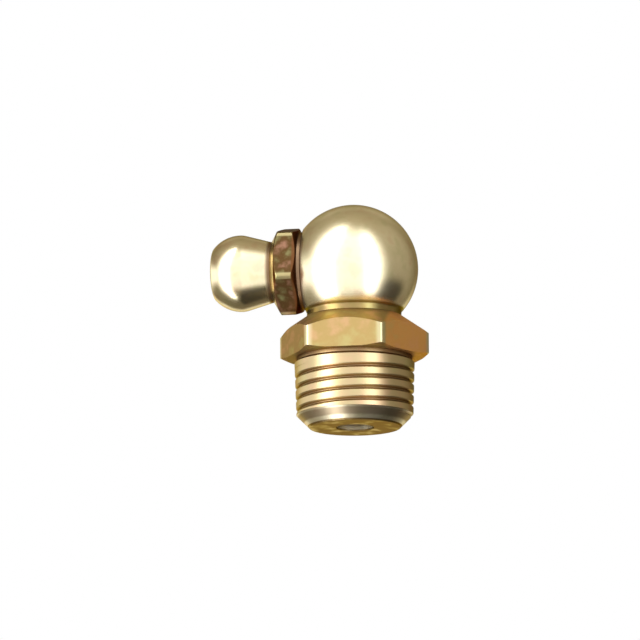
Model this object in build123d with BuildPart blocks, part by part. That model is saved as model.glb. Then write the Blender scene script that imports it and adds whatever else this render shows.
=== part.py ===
"""Right-angled hydraulic grease nipple: a taper-threaded ball elbow with a spring-loaded check valve in its head.

The origin is the centre of the hexagon's underside. +Z runs up the thread axis, away from the machine, and the
nipple points along -X. All sizes are in millimetres.
"""
import os
from math import cos, radians, sin, sqrt, tan

from build123d import *

# Elbow body: hexagon, neck and ball
hex_across_flats = 11.1
hex_corner_height = 1.85  # underside to the top of a corner edge
hex_chamfer_angle = 35.0  # top chamfer, from the horizontal
hex_underside_chamfer_width = 0.6586  # at a corner
hex_underside_chamfer_angle = 20.0  # from the horizontal
neck_radius = 4.0
neck_height = 0.43  # straight part, from the chamfer to the ball
neck_ball_fillet = 0.25
ball_radius = 5.45
spot_face_distance = 4.1  # thread axis to the flat that the nipple seats on

# Taper shank, at its crests
shank_length = 5.95
shank_end_radius = 4.9
shank_taper = 1 / 16  # on the diameter
shank_end_chamfer = 1.05

# Grease channel
channel_radius = 1.6
drill_point_angle = 118.0
tap_runout = 0.8  # tapped hole past the end of the spigot

# Nipple: spigot, collar and head
spigot_radius = 3.0
spigot_length = 3.0
spigot_chamfer = 0.35
spigot_clearance = 0.02
shoulder_radius = 3.3
shoulder_height = 0.3
collar_across_flats = 7.0
collar_rotation = -16.5  # of a corner, up from the horizontal on the -Y side
collar_corner_height = 1.2  # straight part of a corner edge
collar_chamfer_angle = 30.0
groove_radius = 2.58
head_radius = 3.25
head_back_angle = 15.0
head_front_length = 2.65  # widest point to the tip
head_blend_radius = 0.5
tip_radius = 2.05
tip_edge_radius = 0.2

# Check valve
valve_bore_radius = 1.4
inlet_radius = 0.8
inlet_length = 0.35
inlet_countersink = 0.2
seat_half_angle = 45.0
check_ball_radius = 1.25
check_ball_clearance = 0.01
lip_radius = 0.95
lip_thickness = 0.4
spring_wire_radius = 0.17
spring_mean_radius = 1.05
spring_pitch = 1.5
spring_end_gap = 0.02
spring_runs = 16  # straight runs of wire in a turn of the coil, an octagon in section

# Worked-out sizes
hex_corner_radius = hex_across_flats / 2 / cos(radians(30))
hex_chamfer_rise = (hex_corner_radius - neck_radius) * tan(radians(hex_chamfer_angle))
hex_underside_radius = hex_corner_radius - hex_underside_chamfer_width
hex_underside_rise = hex_underside_chamfer_width * tan(radians(hex_underside_chamfer_angle))
neck_foot_height = hex_corner_height + hex_chamfer_rise
ball_centre_height = neck_foot_height + neck_height + sqrt(ball_radius**2 - neck_radius**2)
shank_top_radius = shank_end_radius + shank_length * shank_taper / 2
tapped_hole_radius = spigot_radius + spigot_clearance
tapped_hole_depth = spigot_length + tap_runout

collar_corner_radius = collar_across_flats / 2 / cos(radians(30))
collar_slope = tan(radians(collar_chamfer_angle))
collar_corner_start = shoulder_height + (collar_corner_radius - shoulder_radius) * collar_slope
collar_corner_end = collar_corner_start + collar_corner_height
groove_place = collar_corner_end + (collar_corner_radius - groove_radius) * collar_slope
head_place = groove_place + (head_radius - groove_radius) / tan(radians(head_back_angle))
tip_place = head_place + head_front_length

seat_slope = tan(radians(seat_half_angle))
seat_start = tip_place - inlet_length
seat_end = seat_start - (valve_bore_radius - inlet_radius) / seat_slope
ball_contact_radius = check_ball_radius * cos(radians(seat_half_angle))
ball_contact_place = seat_start - (ball_contact_radius - inlet_radius) / seat_slope
check_ball_place = ball_contact_place - check_ball_radius * sin(radians(seat_half_angle)) - check_ball_clearance
ball_to_coil = sqrt((check_ball_radius + spring_wire_radius) ** 2 - spring_mean_radius**2)
spring_front = check_ball_place - ball_to_coil - spring_end_gap
spring_back = lip_thickness - spigot_length + spring_wire_radius + spring_end_gap

# Planes: x of nipple_section runs out along the nipple from the spot face, and its y is the radius
seat_centre = (-spot_face_distance, 0, ball_centre_height)
nipple_section = Plane(origin=seat_centre, x_dir=(-1, 0, 0), z_dir=(0, 1, 0))
nipple_plane = Plane(origin=seat_centre, x_dir=(0, -1, 0), z_dir=(-1, 0, 0))
nipple_axis = Axis(seat_centre, (-1, 0, 0))


def nipple_point(out):
    """The point on the nipple's axis at a distance out from the spot face."""
    return (-spot_face_distance - out, 0, ball_centre_height)


def turn(plane, axis, points, mode):
    """Revolve an outline into the part in hand. Its points are drawn on a plane whose x or y is the axis."""
    with BuildSketch(plane) as outline:
        with BuildLine():
            Polyline(*points, close=True)
        make_face()
    revolve(outline.sketch, axis, mode=mode)


def drill_point(radius):
    """Height of the cone that a drill of this radius leaves."""
    return radius / tan(radians(drill_point_angle / 2))


with BuildPart() as elbow_body:
    # Hexagon, trimmed by the cones that chamfer its corners
    with BuildSketch():
        RegularPolygon(hex_across_flats / 2, 6, major_radius=False)
    extrude(amount=neck_foot_height)
    turn(
        Plane.XZ,
        Axis.Z,
        [
            (0, 0),
            (hex_underside_radius, 0),
            (hex_corner_radius, hex_underside_rise),
            (hex_corner_radius, hex_corner_height),
            (neck_radius, neck_foot_height),
            (0, neck_foot_height),
        ],
        Mode.INTERSECT,
    )
    # Neck and ball
    with BuildSketch(Plane.XY.offset(neck_foot_height)):
        Circle(neck_radius)
    extrude(amount=ball_centre_height - neck_foot_height)
    with Locations((0, 0, ball_centre_height)):
        Sphere(ball_radius)
    neck_ring = elbow_body.edges().filter_by(GeomType.CIRCLE).filter_by_position(
        Axis.Z, neck_foot_height + neck_ball_fillet, ball_centre_height
    )
    fillet(neck_ring, neck_ball_fillet)
    # Taper shank with its end chamfer
    turn(
        Plane.XZ,
        Axis.Z,
        [
            (0, 0),
            (shank_top_radius, 0),
            (shank_end_radius + shank_end_chamfer * shank_taper / 2, shank_end_chamfer - shank_length),
            (shank_end_radius - shank_end_chamfer, -shank_length),
            (0, -shank_length),
        ],
        Mode.ADD,
    )
    # Spot face, tapped hole and grease channel
    with BuildSketch(nipple_plane):
        Circle(ball_radius)
    extrude(amount=ball_radius, mode=Mode.SUBTRACT)
    turn(
        nipple_section,
        nipple_axis,
        [
            (0, 0),
            (0, tapped_hole_radius),
            (-tapped_hole_depth, tapped_hole_radius),
            (-tapped_hole_depth - drill_point(tapped_hole_radius), 0),
        ],
        Mode.SUBTRACT,
    )
    turn(
        Plane.XZ,
        Axis.Z,
        [
            (0, -shank_length),
            (channel_radius, -shank_length),
            (channel_radius, ball_centre_height),
            (0, ball_centre_height + drill_point(channel_radius)),
        ],
        Mode.SUBTRACT,
    )
elbow_body.part.label = "elbow_body"

with BuildPart() as nipple:
    # Collar: hexagon bar turned down to its chamfers
    with BuildSketch(nipple_plane.offset(shoulder_height)):
        RegularPolygon(collar_across_flats / 2, 6, major_radius=False, rotation=collar_rotation)
    extrude(amount=groove_place - shoulder_height)
    turn(
        nipple_section,
        nipple_axis,
        [
            (shoulder_height, 0),
            (shoulder_height, shoulder_radius),
            (collar_corner_start, collar_corner_radius),
            (collar_corner_end, collar_corner_radius),
            (groove_place, groove_radius),
            (groove_place, 0),
        ],
        Mode.INTERSECT,
    )
    # Spigot and shoulder
    turn(
        nipple_section,
        nipple_axis,
        [
            (-spigot_length, 0),
            (-spigot_length, spigot_radius - spigot_chamfer),
            (-spigot_length + spigot_chamfer, spigot_radius),
            (0, spigot_radius),
            (0, shoulder_radius),
            (shoulder_height, shoulder_radius),
            (shoulder_height, 0),
        ],
        Mode.ADD,
    )
    # Head: a cone out of the groove, then an arc to the flat tip
    with BuildSketch(nipple_section) as head_outline:
        with BuildLine():
            Line((tip_place, 0), (groove_place, 0))
            Line((groove_place, 0), (groove_place, groove_radius))
            Line((groove_place, groove_radius), (head_place, head_radius))
            TangentArc((head_place, head_radius), (tip_place, tip_radius), tangent=(1, 0))
            Line((tip_place, tip_radius), (tip_place, 0))
        make_face()
        widest = head_outline.vertices().sort_by(Axis.Y)[-1]
        fillet(widest, head_blend_radius)
        tip_corner = head_outline.vertices().group_by(Axis.X)[-1].sort_by(Axis.Y)[-1]
        fillet(tip_corner, tip_edge_radius)
    revolve(head_outline.sketch, nipple_axis)
    # Valve bore: countersunk inlet, conical ball seat, spring bore and the lip rolled in behind the spring
    turn(
        nipple_section,
        nipple_axis,
        [
            (tip_place, 0),
            (tip_place, inlet_radius + inlet_countersink),
            (tip_place - inlet_countersink, inlet_radius),
            (seat_start, inlet_radius),
            (seat_end, valve_bore_radius),
            (lip_thickness - spigot_length, valve_bore_radius),
            (lip_thickness - spigot_length, lip_radius),
            (-spigot_length, lip_radius),
            (-spigot_length, 0),
        ],
        Mode.SUBTRACT,
    )
nipple.part.label = "nipple"

with BuildPart() as check_ball:
    with Locations(nipple_point(check_ball_place)):
        Sphere(check_ball_radius)
check_ball.part.label = "check_ball"

with BuildPart() as check_spring:
    with BuildLine(mode=Mode.PRIVATE):
        coil = Helix(
            pitch=spring_pitch,
            height=spring_front - spring_back,
            radius=spring_mean_radius,
            center=nipple_point(spring_back),
            direction=(-1, 0, 0),
        )
    runs = round(spring_runs * (spring_front - spring_back) / spring_pitch)
    with BuildLine() as wire:
        Polyline(*[coil @ (run / runs) for run in range(runs + 1)])
    with BuildSketch(Plane(origin=wire.line @ 0, z_dir=wire.line % 0)):
        RegularPolygon(spring_wire_radius, 8)
    sweep(path=wire.line, transition=Transition.RIGHT)
check_spring.part.label = "check_spring"

os.makedirs("parts", exist_ok=True)
export_step(elbow_body.part, "parts/elbow_body.step")
export_step(nipple.part, "parts/nipple.step")
export_step(check_ball.part, "parts/check_ball.step")
export_step(check_spring.part, "parts/check_spring.step")
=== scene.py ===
import math

import bpy
from mathutils import Matrix, Vector


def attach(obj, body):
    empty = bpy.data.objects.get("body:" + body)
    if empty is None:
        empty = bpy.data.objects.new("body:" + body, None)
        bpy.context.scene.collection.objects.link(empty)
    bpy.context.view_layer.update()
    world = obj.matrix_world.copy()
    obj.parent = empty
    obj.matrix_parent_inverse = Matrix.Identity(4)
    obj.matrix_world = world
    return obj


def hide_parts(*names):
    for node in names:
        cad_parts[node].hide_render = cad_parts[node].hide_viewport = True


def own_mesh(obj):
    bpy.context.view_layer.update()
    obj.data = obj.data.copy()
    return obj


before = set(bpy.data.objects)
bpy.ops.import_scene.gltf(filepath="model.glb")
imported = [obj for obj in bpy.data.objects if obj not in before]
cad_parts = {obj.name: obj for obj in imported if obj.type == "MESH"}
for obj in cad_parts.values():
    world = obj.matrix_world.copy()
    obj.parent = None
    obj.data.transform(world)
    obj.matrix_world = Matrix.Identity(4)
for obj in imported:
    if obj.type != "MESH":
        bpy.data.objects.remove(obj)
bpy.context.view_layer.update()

mm = 0.001
past = 1  # mm that a cutter goes past the surface, so that it cuts clean through
flatToCorner = math.cos(math.radians(30))  # of a hexagon
sharpAngle = math.radians(18)  # edges sharper than this are rounded
weldDistance = 2e-6  # m


def deselectAll():
    if bpy.context.mode != "OBJECT":
        bpy.ops.object.mode_set(mode="OBJECT")
    bpy.ops.object.select_all(action="DESELECT")


def choose(piece):
    deselectAll()
    piece.select_set(True)
    bpy.context.view_layer.objects.active = piece


def settle(piece):
    # object at the origin, its place in its mesh
    choose(piece)
    bpy.ops.object.transform_apply(location=True, rotation=True, scale=True)


def applyModifier(piece, kind, **settings):
    choose(piece)
    modifier = piece.modifiers.new(kind.lower(), kind)
    for setting, value in settings.items():
        setattr(modifier, setting, value)
    bpy.ops.object.modifier_apply(modifier=modifier.name)


def combine(piece, tool, operation):
    # the tool piece is used up by the cut or the join
    applyModifier(piece, "BOOLEAN", operation=operation, object=tool, solver="EXACT")
    bpy.data.objects.remove(tool)


def roundEdges(piece, width, segments):
    applyModifier(
        piece, "BEVEL", width=width * mm, segments=segments, limit_method="ANGLE", angle_limit=sharpAngle,
    )


def turnPiece(name, outline, segments):
    # rings of (place, radius) in mm, extruded one after another up the Z axis, with a face over each end
    deselectAll()
    place, radius = outline[0]
    bpy.ops.mesh.primitive_circle_add(
        vertices=segments, radius=radius * mm, fill_type="NGON", location=(0, 0, place * mm),
    )
    piece = bpy.context.object
    piece.name = name
    settle(piece)
    bpy.ops.object.mode_set(mode="EDIT")
    bpy.ops.mesh.select_all(action="SELECT")
    for nextPlace, nextRadius in outline[1:]:
        move = (0, 0, (nextPlace - place) * mm)
        bpy.ops.mesh.extrude_region_move(TRANSFORM_OT_translate={"value": move})
        if nextRadius == 0:
            bpy.ops.mesh.merge(type="CENTER")
            break
        if nextRadius != radius:
            grow = nextRadius / radius
            bpy.ops.transform.resize(value=(grow, grow, 1), center_override=(0, 0, nextPlace * mm))
        place, radius = nextPlace, nextRadius
    bpy.ops.mesh.select_all(action="SELECT")
    bpy.ops.mesh.normals_make_consistent(inside=False)
    bpy.ops.object.mode_set(mode="OBJECT")
    return piece


def arcPoints(place, radius, size, first, last, steps):
    # (place, radius) points round an arc's centre, angles in degrees from the axis
    angles = [math.radians(first + (last - first) * step / steps) for step in range(steps + 1)]
    return [(place + size * math.cos(angle), radius + size * math.sin(angle)) for angle in angles]


def screwPiece(name, outline, turns, rise, steps):
    # a closed outline of (place, radius) in mm, swept round the Z axis and up it, with a face over each end
    deselectAll()
    bpy.ops.mesh.primitive_circle_add(vertices=len(outline), radius=mm, location=(0, 0, 0))
    piece = bpy.context.object
    piece.name = name
    for vertex, (place, radius) in zip(piece.data.vertices, outline):
        vertex.co = (radius * mm, 0, place * mm)
    applyModifier(
        piece, "SCREW", axis="Z", angle=math.radians(360) * turns, screw_offset=rise * turns * mm,
        steps=steps, render_steps=steps,
    )
    choose(piece)
    bpy.ops.object.mode_set(mode="EDIT")
    bpy.ops.mesh.select_mode(type="EDGE")
    bpy.ops.mesh.select_all(action="DESELECT")
    bpy.ops.mesh.select_non_manifold(extend=False)
    bpy.ops.mesh.edge_face_add()
    bpy.ops.mesh.select_all(action="SELECT")
    bpy.ops.mesh.normals_make_consistent(inside=False)
    bpy.ops.object.mode_set(mode="OBJECT")
    return piece


def hexagonBar(name, across, bottom, top, turn, edgeRound):
    # a length of hexagon bar up the Z axis, its long edges rounded
    edgeSteps = 5
    deselectAll()
    bpy.ops.mesh.primitive_cylinder_add(
        vertices=6,
        radius=across / 2 / flatToCorner * mm,
        depth=(top - bottom) * mm,
        location=(0, 0, (top + bottom) / 2 * mm),
        rotation=(0, 0, math.radians(turn)),
    )
    piece = bpy.context.object
    piece.name = name
    settle(piece)
    bpy.ops.object.mode_set(mode="EDIT")
    bpy.ops.mesh.select_mode(type="EDGE")
    bpy.ops.mesh.select_all(action="DESELECT")
    bpy.ops.object.mode_set(mode="OBJECT")
    for edge in piece.data.edges:
        ends = [piece.data.vertices[index].co for index in edge.vertices]
        edge.select = abs(ends[0].z - ends[1].z) > (top - bottom) / 2 * mm
    bpy.ops.object.mode_set(mode="EDIT")
    bpy.ops.mesh.bevel(offset=edgeRound * mm, segments=edgeSteps)
    bpy.ops.object.mode_set(mode="OBJECT")
    return piece


# camera: a little below the object and to its +X side, in degrees and mm
view = {
    "azimuth": 9.3,
    "elevation": -11.4,
    "roll": 0.4,
    "distance": 500.0,
    "scale": 11.86,  # picture points to a millimetre at the origin
    "originAcross": 354.5,  # where the origin falls in a picture 640 points wide and high
    "originDown": 358.2,
    "picture": 640,
    "sensor": 36.0,
    "nearest": 10.0,
    "farthest": 10000.0,
}


def viewAxes():
    azimuth, elevation, roll = (math.radians(view[name]) for name in ("azimuth", "elevation", "roll"))
    level = math.cos(elevation)
    back = Vector((math.sin(azimuth) * level, -math.cos(azimuth) * level, math.sin(elevation)))
    right = Vector((math.cos(azimuth), math.sin(azimuth), 0))
    up = back.cross(right)
    rolledRight = right * math.cos(roll) - up * math.sin(roll)
    rolledUp = up * math.cos(roll) + right * math.sin(roll)
    return rolledRight, rolledUp, back


def makeCamera():
    right, up, back = viewAxes()
    across = (view["originAcross"] - view["picture"] / 2) / view["scale"]
    down = (view["originDown"] - view["picture"] / 2) / view["scale"]
    place = back * view["distance"] - right * across + up * down
    camera = bpy.data.cameras.new("camera")
    camera.sensor_width = view["sensor"]
    camera.lens = view["scale"] * view["distance"] * view["sensor"] / view["picture"]
    camera.clip_start = view["nearest"] * mm
    camera.clip_end = view["farthest"] * mm
    holder = bpy.data.objects.new("camera", camera)
    bpy.context.scene.collection.objects.link(holder)
    turned = Matrix((right, up, back)).transposed().to_4x4()
    holder.matrix_world = Matrix.Translation(place * mm) @ turned
    bpy.context.scene.camera = holder


makeCamera()
print("camera set")


# elbow body: hexagon, neck, ball and shank, turned from hexagon bar, in millimetres
elbow = {
    "hexAcross": 11.1,
    "hexCornerHeight": 1.85,
    "hexChamferAngle": 35.0,
    "undersideRadius": 5.75,
    "undersideAngle": 20.0,
    "hexEdgeRound": 0.22,
    "chamferEdgeRound": 0.05,
    "chamferEdgeSteps": 3,
    "neckRadius": 4.0,
    "neckHeight": 0.43,
    "neckFlare": 0.25,
    "neckFlareSteps": 8,
    "neckSink": 0.6,  # down into the hexagon
    "neckInset": 1.0,  # its top, in the ball: this far under the ball's centre and in from the neck's side
    "ballRadius": 5.45,
    "spotFace": 4.1,  # thread axis to the flat under the collar
    "spotEdge": 0.1,
    "spotEdgeMiddle": (0.15, 0.35),  # shares of spotEdge: back from the flat, and in from its rim
    "tappedHoleRadius": 3.02,
    "tappedHoleDepth": 3.8,
    "drillAngle": 118.0,
    "channelRadius": 1.6,
    "segments": 160,
    "holeSegments": 96,
    "channelSegments": 64,
    "smoothAngle": 14.0,
}

hexCorner = elbow["hexAcross"] / 2 / flatToCorner
chamferSlope = math.tan(math.radians(elbow["hexChamferAngle"]))
neckFoot = elbow["hexCornerHeight"] + (hexCorner - elbow["neckRadius"]) * chamferSlope
ballRise = math.sqrt(elbow["ballRadius"] ** 2 - elbow["neckRadius"] ** 2)
ballCentre = neckFoot + elbow["neckHeight"] + ballRise
nippleStart = Vector((-elbow["spotFace"], 0, ballCentre))  # centre of the spot face


def alongNipple(piece):
    # from +Z at the origin to -X at the spot face
    piece.rotation_euler = (0, math.radians(-90), 0)
    piece.location = nippleStart * mm
    settle(piece)
    return piece


def makeBall():
    # turned round the nipple's axis, from the spot face to the far pole
    radius = elbow["ballRadius"]
    edge = elbow["spotEdge"]
    startAngle = math.degrees(math.acos(elbow["spotFace"] / radius))
    spotRadius = radius * math.sin(math.radians(startAngle))
    back, inward = elbow["spotEdgeMiddle"]
    outline = [(0, spotRadius - edge), (-edge * back, spotRadius - edge * inward)]
    startAngle += math.degrees(edge / radius)
    centre = -elbow["spotFace"]
    outline += arcPoints(centre, 0, radius, startAngle, 180, elbow["segments"] // 2)[:-1]
    outline.append((centre - radius, 0))
    return alongNipple(turnPiece("elbowBody", outline, elbow["segments"]))


def makeNeck():
    # straight, with a small flare that runs out on the ball
    flare = elbow["neckFlare"]
    flareRadius = elbow["neckRadius"] + flare
    flarePlace = ballCentre - math.sqrt((elbow["ballRadius"] + flare) ** 2 - flareRadius**2)
    meetAngle = math.degrees(math.atan2(-flareRadius, ballCentre - flarePlace))
    inset = elbow["neckInset"]
    outline = [(neckFoot - elbow["neckSink"], elbow["neckRadius"])]
    outline += arcPoints(flarePlace, flareRadius, flare, -90, meetAngle, elbow["neckFlareSteps"])
    outline.append((ballCentre - inset, elbow["neckRadius"] - inset))
    return turnPiece("neck", outline, elbow["segments"])


def makeHexagon():
    # hexagon bar trimmed by the cones that chamfer its corners
    reach = 0.5  # of the cones past the corners
    undersideSlope = math.tan(math.radians(elbow["undersideAngle"]))
    bar = hexagonBar("hexagon", elbow["hexAcross"], 0, neckFoot + reach, 30, elbow["hexEdgeRound"])
    outline = [
        (0, elbow["undersideRadius"]),
        ((hexCorner + reach - elbow["undersideRadius"]) * undersideSlope, hexCorner + reach),
        (elbow["hexCornerHeight"] - reach * chamferSlope, hexCorner + reach),
        (neckFoot, elbow["neckRadius"]),
    ]
    combine(bar, turnPiece("chamferCones", outline, elbow["segments"]), "INTERSECT")
    roundEdges(bar, elbow["chamferEdgeRound"], elbow["chamferEdgeSteps"])
    return bar


# taper-threaded shank, turned on the elbow body
shank = {
    "length": 5.95,
    "endRadius": 4.9,
    "taper": 1 / 16,
    "endChamfer": 1.05,
    "pitch": 25.4 / 27,
    "grooveDepth": 0.26,
    "grooveWidth": 0.36,
    "flankAngle": 30.0,
    "crestRound": 0.1,
    # the cutter's side at a crest, in shares of crestRound: in from the groove's edge, and out from the crest
    "crestCurve": [(-1.4, 1), (-0.75, 0), (-0.3, -0.12), (0.1, -0.42)],
    "rootSteps": 5,
    "plainBand": 0.95,  # unthreaded under the hexagon
    "bandSegments": 90,
    "undercut": 0.22,  # depth of the relief between band and hexagon
    "undercutHeight": 1.3,  # in undercuts
    "firstGroove": -1.53,  # middle of a groove at the front of the shank
    "turnSteps": 144,
}


def grooveOutline(crestRadius):
    # section of the thread cutter, closed outside the crests: (place, radius) points up the axis
    half = shank["grooveWidth"] / 2
    corner = shank["crestRound"]
    slope = math.tan(math.radians(shank["flankAngle"]))
    rootRound = (half - shank["grooveDepth"] * slope) / (math.hypot(1, slope) - slope)
    lowerHalf = [(-half + corner * inward, crestRadius + corner * out) for inward, out in shank["crestCurve"]]
    rootCentre = crestRadius - shank["grooveDepth"] + rootRound
    lowerHalf += arcPoints(0, rootCentre, rootRound, -180 + shank["flankAngle"], -90, shank["rootSteps"])
    return lowerHalf + [(-place, radius) for place, radius in reversed(lowerHalf[:-1])]


def makeThread():
    # the cutter's section is screwed up the axis, kept clear of the plain band, and cut from a plain rod,
    # which is then tapered
    crestRadius = shank["endRadius"] + shank["length"] * shank["taper"] / 2
    pitch = shank["pitch"]
    turns = math.ceil(shank["length"] / pitch) + 1
    # the groove's middle comes to firstGroove at the front, a quarter turn back from +X
    bottom = shank["firstGroove"] + pitch / 4 + (1 - turns) * pitch
    outline = [(bottom + place, radius) for place, radius in grooveOutline(crestRadius)]
    cutter = screwPiece("threadCutter", outline, turns, pitch, turns * shank["turnSteps"])
    band, wide = shank["plainBand"], crestRadius + past
    sink = 0.6  # of the band's zone under the crests
    zone = [(-band - sink, crestRadius - sink), (past - band, wide), (past * 2, wide)]
    combine(cutter, turnPiece("bandZone", zone, shank["bandSegments"]), "DIFFERENCE")
    low, high = -shank["length"] - pitch, elbow["hexCornerHeight"] / 3
    rod = turnPiece("thread", [(low, crestRadius), (high, crestRadius)], shank["turnSteps"])
    combine(rod, cutter, "DIFFERENCE")
    applyModifier(
        rod, "SIMPLE_DEFORM", deform_method="TAPER", deform_axis="Z",
        factor=shank["taper"] / 2 / crestRadius * (high - low),
    )
    return rod


def makeShank():
    # threaded rod, cut to length with its end chamfer, and relieved just under the hexagon
    rod = makeThread()
    reach = 1.5  # of the cutter past the end's radius
    wide = shank["endRadius"] + reach
    undercut = shank["undercut"]
    undercutPlace = -undercut * shank["undercutHeight"]
    neck = shank["endRadius"] + shank["length"] * shank["taper"] / 2 - undercut
    cutter = [
        (-shank["length"], shank["endRadius"] - shank["endChamfer"]),
        (-shank["length"] + shank["endChamfer"] + reach, wide),
        (undercutPlace - wide + neck, wide),
        (undercutPlace, neck),
        (past, neck),
    ]
    combine(rod, turnPiece("endCutter", cutter, elbow["segments"]), "INTERSECT")
    return rod


def drillPoint(radius):
    return radius / math.tan(math.radians(elbow["drillAngle"] / 2))


def finishShading(piece, angle):
    choose(piece)
    bpy.ops.object.mode_set(mode="EDIT")
    bpy.ops.mesh.select_all(action="SELECT")
    bpy.ops.mesh.remove_doubles(threshold=weldDistance)
    bpy.ops.mesh.normals_make_consistent(inside=False)
    bpy.ops.object.mode_set(mode="OBJECT")
    bpy.ops.object.shade_smooth_by_angle(angle=math.radians(angle))


def makeElbow():
    body = makeBall()
    combine(body, makeNeck(), "UNION")
    print("ball and neck turned")
    combine(body, makeHexagon(), "UNION")
    print("hexagon chamfered")
    combine(body, makeShank(), "UNION")
    print("shank threaded")
    radius = elbow["channelRadius"]
    channel = [(-shank["length"] - past, radius), (ballCentre, radius), (ballCentre + drillPoint(radius), 0)]
    combine(body, turnPiece("channel", channel, elbow["channelSegments"]), "DIFFERENCE")
    radius, depth = elbow["tappedHoleRadius"], elbow["tappedHoleDepth"]
    hole = [(past, radius), (-depth, radius), (-depth - drillPoint(radius), 0)]
    combine(body, alongNipple(turnPiece("tappedHole", hole, elbow["holeSegments"])), "DIFFERENCE")
    print("grease channel drilled")
    finishShading(body, elbow["smoothAngle"])
    return body


# nipple: spigot, collar, groove and coupler head, turned from one piece
head = {
    "shoulderRadius": 3.3,
    "shoulderHeight": 0.3,
    "shoulderEdge": 0.05,
    "collarAcross": 7.0,
    "collarTurn": -16.5,
    "collarCornerHeight": 1.2,
    "collarChamferAngle": 30.0,
    "collarEdgeRound": 0.1,
    "chamferEdgeRound": 0.04,
    "chamferEdgeSteps": 2,
    "grooveRadius": 2.58,
    "grooveRelief": 0.03,  # how much deeper the outline is inside the collar
    "grooveRun": 0.1,  # length of the groove's straight bottom
    "collarSink": (0.1, 0.15),  # of the shoulder and of the groove into the collar
    "widestRadius": 3.25,
    "backAngle": 15.0,
    "backBlend": 2.0,
    "backBlendSteps": 8,
    "frontLength": 2.65,
    "frontSteps": 28,
    "tipRadius": 2.05,
    "tipEdge": 0.2,
    # shares of tipEdge: where the front arc ends, back from the tip, and the round's middle, back and in
    "tipEdgeStart": 0.6,
    "tipEdgeMiddle": (0.12, 0.35),
    "spigotRadius": 3.0,
    "spigotLength": 3.0,
    "spigotChamfer": 0.35,
    "boreRadius": 1.4,
    "inletRadius": 0.8,
    "inletLength": 0.35,
    "countersink": 0.2,
    "lipRadius": 0.95,
    "lipThickness": 0.4,
    "segments": 128,
    "boreSegments": 64,
    "smoothAngle": 14.0,
}

# places along the nipple, out from the spot face
collarCorner = head["collarAcross"] / 2 / flatToCorner
collarSlope = math.tan(math.radians(head["collarChamferAngle"]))
cornerStart = head["shoulderHeight"] + (collarCorner - head["shoulderRadius"]) * collarSlope
cornerEnd = cornerStart + head["collarCornerHeight"]
groovePlace = cornerEnd + (collarCorner - head["grooveRadius"]) * collarSlope
backSlope = math.tan(math.radians(head["backAngle"]))
widestPlace = groovePlace + (head["widestRadius"] - head["grooveRadius"]) / backSlope
tipPlace = widestPlace + head["frontLength"]
seatStart = tipPlace - head["inletLength"]
lipEnd = head["lipThickness"] - head["spigotLength"]


def makeCollar():
    # hexagon bar between two cones
    spare = 0.2  # of the bar past the groove
    reach = 0.4  # of the cones past the corners
    bar = hexagonBar(
        "collar", head["collarAcross"], head["shoulderHeight"] / 2, groovePlace + spare,
        head["collarTurn"], head["collarEdgeRound"],
    )
    outline = [
        (head["shoulderHeight"], head["shoulderRadius"]),
        (cornerStart + reach * collarSlope, collarCorner + reach),
        (cornerEnd - reach * collarSlope, collarCorner + reach),
        (groovePlace, head["grooveRadius"]),
    ]
    combine(bar, turnPiece("collarCones", outline, head["segments"]), "INTERSECT")
    roundEdges(bar, head["chamferEdgeRound"], head["chamferEdgeSteps"])
    return bar


def headOutline():
    # spigot, shoulder, groove and head, from the spigot's end to the tip
    angle = math.radians(head["backAngle"])
    blend = head["backBlend"]
    blendPlace = widestPlace - blend * math.tan(angle / 2) * math.cos(angle) + blend * math.sin(angle)
    run = tipPlace - blendPlace
    drop = head["widestRadius"] - head["tipRadius"]
    frontSize = (run**2 + drop**2) / (2 * drop)
    edge, shoulderEdge = head["tipEdge"], head["shoulderEdge"]
    shoulderSink, grooveSink = head["collarSink"]
    back, inward = head["tipEdgeMiddle"]
    tipAngle = math.degrees(math.asin((run - edge * head["tipEdgeStart"]) / frontSize))
    outline = [
        (-head["spigotLength"], head["spigotRadius"] - head["spigotChamfer"]),
        (-head["spigotLength"] + head["spigotChamfer"], head["spigotRadius"]),
        (0, head["spigotRadius"]),
        (0, head["shoulderRadius"] - shoulderEdge),
        (shoulderEdge, head["shoulderRadius"]),
        (head["shoulderHeight"] + shoulderSink, head["shoulderRadius"]),
        (groovePlace - grooveSink, head["grooveRadius"] - head["grooveRelief"]),
        (groovePlace + head["grooveRun"], head["grooveRadius"]),
    ]
    centre = head["widestRadius"] - blend
    outline += arcPoints(blendPlace, centre, blend, 90 + head["backAngle"], 90, head["backBlendSteps"])
    centre = head["widestRadius"] - frontSize
    outline += arcPoints(blendPlace, centre, frontSize, 90, 90 - tipAngle, head["frontSteps"])[1:]
    outline.append((tipPlace - edge * back, head["tipRadius"] - edge * inward))
    outline.append((tipPlace, head["tipRadius"] - edge))
    return outline


def makeNipple():
    piece = turnPiece("nippleHead", headOutline(), head["segments"])
    combine(piece, makeCollar(), "UNION")
    print("head and collar turned")
    step = 0.001  # along the axis, where the radius jumps
    behind, beyond = 0.5, 0.1  # of the cutter past the spigot's end and past the tip
    bore = [
        (-head["spigotLength"] - behind, head["lipRadius"]),
        (lipEnd, head["lipRadius"]),
        (lipEnd + step, head["boreRadius"]),
        (seatStart - (head["boreRadius"] - head["inletRadius"]), head["boreRadius"]),
        (seatStart, head["inletRadius"]),
        (tipPlace - head["countersink"], head["inletRadius"]),
        (tipPlace + beyond, head["inletRadius"] + head["countersink"] + beyond),
    ]
    combine(piece, turnPiece("valveBore", bore, head["boreSegments"]), "DIFFERENCE")
    print("valve bore drilled")
    alongNipple(piece)
    finishShading(piece, head["smoothAngle"])
    return piece


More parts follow.
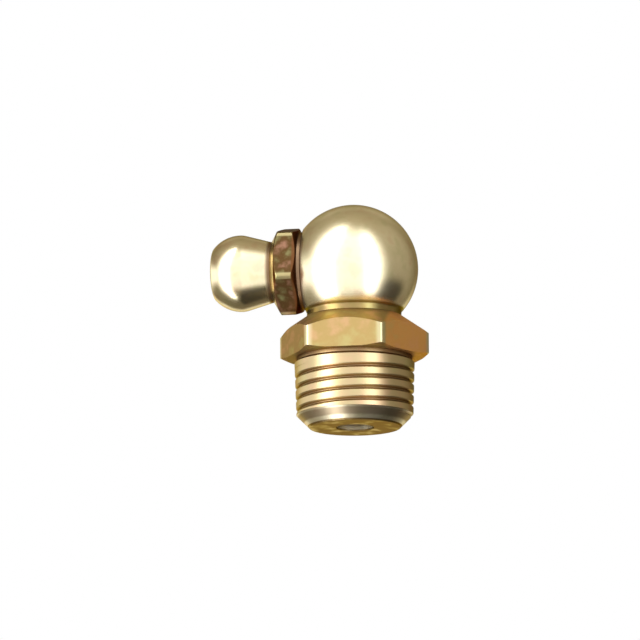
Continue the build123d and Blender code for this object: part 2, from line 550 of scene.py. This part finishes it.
# check valve spring, between the rolled lip and the ball; the ball keeps its own solid
spring = {
    "wireRadius": 0.17,
    "meanRadius": 1.05,
    "pitch": 1.5,
    "endGap": 0.02,
    "seatAngle": 45.0,
    "ballRadius": 1.25,
    "ballClearance": 0.01,
    "lift": 1.2,  # how far the ball can be pushed in
    "turnSteps": 40,
    "wireSides": 14,
    "smoothAngle": 40.0,
}

seatAngle = math.radians(spring["seatAngle"])
contactRadius = spring["ballRadius"] * math.cos(seatAngle)
ballPlace = seatStart - (contactRadius - head["inletRadius"]) / math.tan(seatAngle) - spring["ballClearance"]
ballPlace -= spring["ballRadius"] * math.sin(seatAngle)
coilBack = lipEnd + spring["wireRadius"] + spring["endGap"]
ballToCoil = math.sqrt((spring["ballRadius"] + spring["wireRadius"]) ** 2 - spring["meanRadius"] ** 2)
coilFront = ballPlace - ballToCoil - spring["endGap"]


def makeSpring():
    wire = arcPoints(coilBack, spring["meanRadius"], spring["wireRadius"], 0, 360, spring["wireSides"])[:-1]
    turns = (coilFront - coilBack) / spring["pitch"]
    piece = screwPiece("springCoil", wire, turns, spring["pitch"], round(turns * spring["turnSteps"]))
    alongNipple(piece)
    finishShading(piece, spring["smoothAngle"])
    print("spring wound")
    return piece


def toLinear(hexCode):
    # sRGB hex code to linear colour
    channels = [int(hexCode[start:start + 2], 16) / 255 for start in (1, 3, 5)]
    linear = [value / 12.92 if value <= 0.04045 else ((value + 0.055) / 1.055) ** 2.4 for value in channels]
    return (*linear, 1)


def addNode(tree, kind, inputs=(), output=0, **settings):
    # inputs go to the node's live sockets in order, or by name: a number, a colour, or the socket that feeds it
    node = tree.nodes.new(kind)
    for setting, value in settings.items():
        setattr(node, setting, value)
    if isinstance(inputs, dict):
        pairs = [(node.inputs[name], value) for name, value in inputs.items()]
    else:
        pairs = zip([socket for socket in node.inputs if socket.enabled], inputs)
    for socket, value in pairs:
        if isinstance(value, bpy.types.NodeSocket):
            tree.links.new(value, socket)
        else:
            socket.default_value = toLinear(value) if isinstance(value, str) else value
    if isinstance(output, str):
        return node.outputs[output]
    found = [socket for socket in node.outputs if socket.enabled]
    return found[output] if found else None


def newTree(owner):
    # an empty node tree on a material or a world
    owner.use_nodes = True
    owner.node_tree.nodes.clear()
    return owner.node_tree


# yellow-passivated zinc plate on turned steel: pale straw-gold with faint rose and moss patches, darker and
# browner where the steel was left as drawn bar. Painted shade darkens the neck, the thread grooves, the end
# face, the flat under the collar and the hexagon's -X side; painted light brightens its +X side and the end
# chamfer, and painted highlights lie in patches on the end. Each layer is painted over those before it: what it
# goes by, where it starts and where it is full (in mm, or in noise), tint, roughness and strength
elbowPlate = {
    "name": "yellowPassivatedZinc",
    "colour": "#a58d5b",
    "roughness": 0.5,
    "layers": [
        # painted light and shade: the hexagon's +X side brighter and warmer, its -X side darker, as the light
        # falls on them
        ("across", 3.2, 3.6, "#dca664", 0.5, 1.0),
        ("across", -3.2, -3.6, "#998059", 0.5, 1.0),
        # painted shade: the neck between the hexagon and the ball, with the ball's foot, darker
        ("along", 3.4, 3.6, "#938051", 0.3, 1.0),
        ("along", 4.1, 4.3, "#f7ebc9", 0.26, 1.0),
        ("along", 0.02, -0.05, "#c3af87", 0.32, 1.0),
        # painted light: the end chamfer paler, as if lit from below
        ("along", -4.85, -4.95, "#f9eecf", 0.32, 1.0),
        ("radius", 6.12, 6.3, "#ccbf97", 0.3, 1.0),
        ("film", 0.5, 0.7, "#e5aa94", 0.3, 0.22),
        ("film", 0.5, 0.3, "#bbc589", 0.3, 0.22),
        # painted shade in the thread grooves and in the undercut under the hexagon
        ("groove", 0.03, 0.2, "#775332", 0.35, 0.6),
        # painted shade: the end face darker; then painted highlights in patches over it
        ("end", 0.0, 0.04, "#967d55", 0.35, 1.0),
        ("endHighlight", 0.0, 0.2, "#f0dcad", 0.3, 0.8),
        # painted shade on the flat under the collar, between the collar and the ball
        ("spotFace", 0.0, 0.2, "#654127", 0.4, 0.85),
    ],
    "glancing": "#968a6a",
    "patchSize": 1.3,
    "toolMark": 0.09,  # spacing of the turning marks, wider than real so that they show
    "markDepth": 0.002,
    "seed": 3.0,
    "grooveShadeMargin": 0.3,  # the painted shade in the thread grooves and the undercut ends this far past the shank's top, and short of its end
    "spotShadeDepth": 0.25,  # how far in from the flat its painted shade goes
    "spotShadeRise": 0.5,  # lowest place of that painted shade, over the neck's foot
    "endDepth": 0.15,  # how far up from the end face its painted shade and highlights go
    "endHighlightLevel": 0.48,  # noise over which a highlight is painted on the end face
}

# the same plate, paler on the turned head and brown on the collar's bar faces, with painted highlights on the
# collar's corners and painted shade in the hollows beside it
headPlate = {
    "name": "palePassivatedZinc",
    "colour": "#eee1be",
    "roughness": 0.22,
    "layers": [
        ("collar", 0.0, 0.12, "#543e24", 0.4, 1.0),
        # painted highlight along the collar's corners
        ("cornerHighlight", 0.0, 0.08, "#a6986e", 0.3, 1.0),
        ("film", 0.5, 0.7, "#e5aa94", 0.22, 0.25),
        ("film", 0.5, 0.3, "#bbc589", 0.22, 0.25),
        # painted shade in the hollows beside the collar
        ("recessShade", 0.0, 0.1, "#654127", 0.4, 0.85),
    ],
    "glancing": "#968a6a",
    "patchSize": 1.1,
    "toolMark": 0.09,
    "markDepth": 0.0026,
    "seed": 4.0,
    "flatRadius": 3.36,  # least distance of the collar's flats and of its corners from the axis
    "cornerRadius": 3.86,
    "collarPast": 0.05,  # past the collar's end, where its film and the painted highlight on its corners stop
    "recessDepth": 0.1,  # the painted shade in the hollows reaches this far over the groove's radius, and past the collar's end
    "recessPast": 0.4,
}

# hard-drawn spring wire: grey, with dull streaks of drawing compound
springWire = {
    "name": "drawnSpringWire",
    "colour": "#8f8f8b",
    "roughness": 0.3,
    "layers": [("film", 0.4, 0.7, "#6f6a60", 0.45, 0.8)],
    "glancing": "#a5a5a0",
    "patchSize": 0.4,
    "toolMark": 0.06,
    "markDepth": 0.001,
    "seed": 7.0,
}

# lapped bearing steel: bright and nearly a mirror, with a faint haze
ballSteel = {
    "name": "polishedBearingSteel",
    "colour": "#cdcdc9",
    "roughness": 0.07,
    "layers": [("film", 0.4, 0.7, "#bcbab3", 0.13, 0.7)],
    "glancing": "#dededa",
    "patchSize": 0.5,
    "toolMark": 0.08,
    "markDepth": 0.0002,
    "seed": 9.0,
}


def platedMetal(plate, start, axis, addMeasures=None):
    # start is a point on the piece's turning axis, in mm
    filmDetail, markDetail = 3.0, 2.0
    ringStretch = 0.02  # how little the marks change across the axis
    material = bpy.data.materials.new(plate["name"])
    tree = newTree(material)
    place = addNode(tree, "ShaderNodeTexCoord", output="Object")
    place = addNode(tree, "ShaderNodeVectorMath", {"Vector": place, "Scale": 1 / mm}, operation="SCALE")
    offset = addNode(tree, "ShaderNodeVectorMath", [place, start], operation="SUBTRACT")
    turned = addNode(tree, "ShaderNodeVectorMath", [offset, axis], operation="CROSS_PRODUCT")
    measures = {
        "across": addNode(tree, "ShaderNodeVectorMath", [place, (1, 0, 0)], operation="DOT_PRODUCT"),
        "along": addNode(tree, "ShaderNodeVectorMath", [offset, axis], operation="DOT_PRODUCT"),
        "radius": addNode(tree, "ShaderNodeVectorMath", [turned], operation="LENGTH"),
        "film": addNode(
            tree, "ShaderNodeTexNoise", [place, plate["seed"], 1 / plate["patchSize"], filmDetail],
            noise_dimensions="4D",
        ),
    }
    if addMeasures:
        addMeasures(tree, measures)
    colour, roughness = plate["colour"], plate["roughness"]
    for measure, first, full, tint, rough, strength in plate["layers"]:
        amount = addNode(
            tree, "ShaderNodeMapRange", [measures[measure], first, full, 0.0, strength],
            interpolation_type="SMOOTHSTEP",
        )
        colour = addNode(tree, "ShaderNodeMix", [amount, colour, tint], data_type="RGBA")
        roughness = addNode(tree, "ShaderNodeMix", [amount, roughness, rough], data_type="FLOAT")
    # fine rings round the turning axis
    stretch = [max(abs(value), ringStretch) for value in axis]
    stretched = addNode(tree, "ShaderNodeVectorMath", [place, stretch], operation="MULTIPLY")
    marks = addNode(
        tree, "ShaderNodeTexNoise", [stretched, plate["seed"] + 1, 1 / plate["toolMark"], markDetail],
        noise_dimensions="4D",
    )
    depth = plate["markDepth"] * mm
    bump = addNode(tree, "ShaderNodeBump", {"Strength": 1.0, "Distance": depth, "Height": marks})
    surface = addNode(tree, "ShaderNodeBsdfPrincipled", {
        "Base Color": colour,
        "Metallic": 1.0,
        "Roughness": roughness,
        "Specular Tint": plate["glancing"],
        "Normal": bump,
    })
    addNode(tree, "ShaderNodeOutputMaterial", {"Surface": surface})
    return material


def elbowMeasures(tree, measures):
    # depth under the thread's crests, where shade is painted in the grooves and the undercut; none above the
    # shank or on its end
    margin = elbowPlate["grooveShadeMargin"]
    slope = shank["taper"] / 2
    crest = addNode(
        tree, "ShaderNodeMath", [measures["along"], slope, shank["endRadius"] + shank["length"] * slope],
        operation="MULTIPLY_ADD",
    )
    depth = addNode(tree, "ShaderNodeMath", [crest, measures["radius"]], operation="SUBTRACT")
    under = addNode(tree, "ShaderNodeMath", [margin, measures["along"]], operation="SUBTRACT")
    above = addNode(tree, "ShaderNodeMath", [measures["along"], shank["length"] - margin], operation="ADD")
    depth = addNode(tree, "ShaderNodeMath", [depth, above], operation="MINIMUM")
    measures["groove"] = addNode(tree, "ShaderNodeMath", [depth, under], operation="MINIMUM")
    # the flat under the collar, where shade is painted between the collar and the ball
    start = elbowPlate["spotShadeDepth"] - elbow["spotFace"]
    beyond = addNode(tree, "ShaderNodeMath", [start, measures["across"]], operation="SUBTRACT")
    lowest = neckFoot + elbowPlate["spotShadeRise"]
    high = addNode(tree, "ShaderNodeMath", [measures["along"], lowest], operation="SUBTRACT")
    measures["spotFace"] = addNode(tree, "ShaderNodeMath", [beyond, high], operation="MINIMUM")
    # the end face, painted darker, and patches of painted highlight on it
    start = elbowPlate["endDepth"] - shank["length"]
    end = addNode(tree, "ShaderNodeMath", [start, measures["along"]], operation="SUBTRACT")
    bright = addNode(tree, "ShaderNodeMath", [measures["film"], elbowPlate["endHighlightLevel"]], operation="SUBTRACT")
    measures["end"] = end
    measures["endHighlight"] = addNode(tree, "ShaderNodeMath", [end, bright], operation="MINIMUM")


def headMeasures(tree, measures):
    # the collar between shoulder and groove, its corners, where a highlight is painted, and the hollows on both
    # sides of it, where shade is painted
    collarEnd = groovePlace + headPlate["collarPast"]
    under = addNode(tree, "ShaderNodeMath", [collarEnd, measures["along"]], operation="SUBTRACT")
    for name, radius in (("collar", headPlate["flatRadius"]), ("cornerHighlight", headPlate["cornerRadius"])):
        over = addNode(tree, "ShaderNodeMath", [measures["radius"], radius], operation="SUBTRACT")
        measures[name] = addNode(tree, "ShaderNodeMath", [over, under], operation="MINIMUM")
    shoulder = addNode(tree, "ShaderNodeMath", [cornerStart, measures["along"]], operation="SUBTRACT")
    hollowRadius = head["grooveRadius"] + headPlate["recessDepth"]
    inside = addNode(tree, "ShaderNodeMath", [hollowRadius, measures["radius"]], operation="SUBTRACT")
    hollowEnd = groovePlace + headPlate["recessPast"]
    nearGroove = addNode(tree, "ShaderNodeMath", [hollowEnd, measures["along"]], operation="SUBTRACT")
    hollow = addNode(tree, "ShaderNodeMath", [inside, nearGroove], operation="MINIMUM")
    measures["recessShade"] = addNode(tree, "ShaderNodeMath", [shoulder, hollow], operation="MAXIMUM")


def dress(piece, material):
    piece.data.materials.clear()
    piece.data.materials.append(material)


elbowBody = makeElbow()
nippleHead = makeNipple()
springCoil = makeSpring()
dress(elbowBody, platedMetal(elbowPlate, (0, 0, 0), (0, 0, 1), elbowMeasures))
dress(nippleHead, platedMetal(headPlate, nippleStart, (-1, 0, 0), headMeasures))
dress(springCoil, platedMetal(springWire, nippleStart, (-1, 0, 0)))
for piece, node, slot in (
    (elbowBody, "elbow_body", "elbow_steel"),
    (nippleHead, "nipple", "nipple_steel"),
    (springCoil, "check_spring", "spring_steel"),
):
    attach(piece, "fitting")
    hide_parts(node)
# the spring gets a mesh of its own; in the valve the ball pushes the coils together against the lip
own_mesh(springCoil)
for slot in bpy.data.objects["check_ball"].material_slots:
    slot.material = platedMetal(ballSteel, nippleStart, (-1, 0, 0))
print("pieces dressed")


# studio: white to the camera and a warm dim room all round, with soft lights in it. A light's angles are as the
# camera sees them, in degrees: turn to the right of it and height above it, each from and to, then how soft the
# edges are and the strength, which is below nothing for a dark corner
studio = {
    "room": "#b9ad8f",
    "lowLevel": 0.28,
    "highLevel": 0.92,
    "lights": [
        (-87, 57, -47, 74, 24, 0.84),
        (-72, -44, -75, 75, 16, 4),
        (24, 46, -45, 62, 14, 1.92),
        (-172, -88, -19, 12, 16, 0.96),
        (-215, -150, -45, 45, 20, 0.36),
        (150, 215, -45, 45, 20, 0.36),
        (-215, -150, -40, -8, 14, 1.04),
        (150, 215, -40, -8, 14, 1.04),
        (55, 105, -65, -20, 22, -1.68),
        (15, 140, -90, -44, 20, -1.28),
        (75, 130, -30, 55, 30, 0.096),
    ],
    "darkest": 0.06,
    "floor": "#f2f2f0",
    "floorGlow": 0.55,  # share of the floor that is evenly white
    "floorSize": 1.2,  # m
    "floorGap": 0.02,  # mm under the shank's end
}


def makeWorld():
    world = bpy.data.worlds.new("studio")
    bpy.context.scene.world = world
    tree = newTree(world)
    direction = addNode(tree, "ShaderNodeTexCoord", output="Generated")
    aside, above, ahead = (
        addNode(tree, "ShaderNodeVectorMath", [direction, axis], operation="DOT_PRODUCT") for axis in viewAxes()
    )
    turn = addNode(tree, "ShaderNodeMath", [aside, ahead], operation="ARCTAN2")
    turn = addNode(tree, "ShaderNodeMath", [turn], operation="DEGREES")
    height = addNode(tree, "ShaderNodeMath", [above], operation="ARCSINE")
    height = addNode(tree, "ShaderNodeMath", [height], operation="DEGREES")
    level = 0.0
    for left, right, low, high, soft, strength in studio["lights"]:
        inside = 1.0
        edges = ((turn, left, soft), (turn, right, -soft), (height, low, soft), (height, high, -soft))
        for angle, edge, step in edges:
            within = addNode(
                tree, "ShaderNodeMapRange", [angle, edge - step / 2, edge + step / 2],
                interpolation_type="SMOOTHSTEP",
            )
            inside = addNode(tree, "ShaderNodeMath", [inside, within], operation="MULTIPLY")
        level = addNode(tree, "ShaderNodeMath", [inside, strength, level], operation="MULTIPLY_ADD")
    base = addNode(
        tree, "ShaderNodeMapRange", [height, -90.0, 90.0, studio["lowLevel"], studio["highLevel"]],
    )
    strength = addNode(tree, "ShaderNodeMath", [base, level], operation="ADD")
    strength = addNode(tree, "ShaderNodeMath", [strength, studio["darkest"]], operation="MAXIMUM")
    whiteness = addNode(tree, "ShaderNodeMapRange", [level, 0.0, 1.0])
    colour = addNode(tree, "ShaderNodeMix", [whiteness, studio["room"], "#ffffff"], data_type="RGBA")
    light = addNode(tree, "ShaderNodeBackground", [colour, strength])
    white = addNode(tree, "ShaderNodeBackground", ["#ffffff", 1.0])
    seen = addNode(tree, "ShaderNodeLightPath", output="Is Camera Ray")
    mixed = addNode(tree, "ShaderNodeMixShader", [seen, light, white])
    addNode(tree, "ShaderNodeOutputWorld", {"Surface": mixed})


def makeFloor():
    # seen from above only, so that a camera under its level looks through it
    deselectAll()
    level = -shank["length"] - studio["floorGap"]
    bpy.ops.mesh.primitive_plane_add(size=studio["floorSize"], location=(0, 0, level * mm))
    floor = bpy.context.object
    floor.name = "floor"
    settle(floor)
    # matt and partly glowing, so that it is as white as the background and shows just the soft shadow
    material = bpy.data.materials.new("paleFloor")
    tree = newTree(material)
    matt = addNode(tree, "ShaderNodeBsdfDiffuse", [studio["floor"]])
    glow = addNode(tree, "ShaderNodeEmission", ["#ffffff", 1.0])
    pale = addNode(tree, "ShaderNodeMixShader", [studio["floorGlow"], matt, glow])
    clear = addNode(tree, "ShaderNodeBsdfTransparent")
    underside = addNode(tree, "ShaderNodeNewGeometry", output="Backfacing")
    oneSided = addNode(tree, "ShaderNodeMixShader", [underside, pale, clear])
    addNode(tree, "ShaderNodeOutputMaterial", {"Surface": oneSided})
    dress(floor, material)
    for ray in ("glossy", "diffuse", "transmission", "shadow"):
        setattr(floor, "visible_" + ray, False)


makeFloor()
makeWorld()
print("studio lit")

bpy.context.scene.view_settings.view_transform = "Standard"
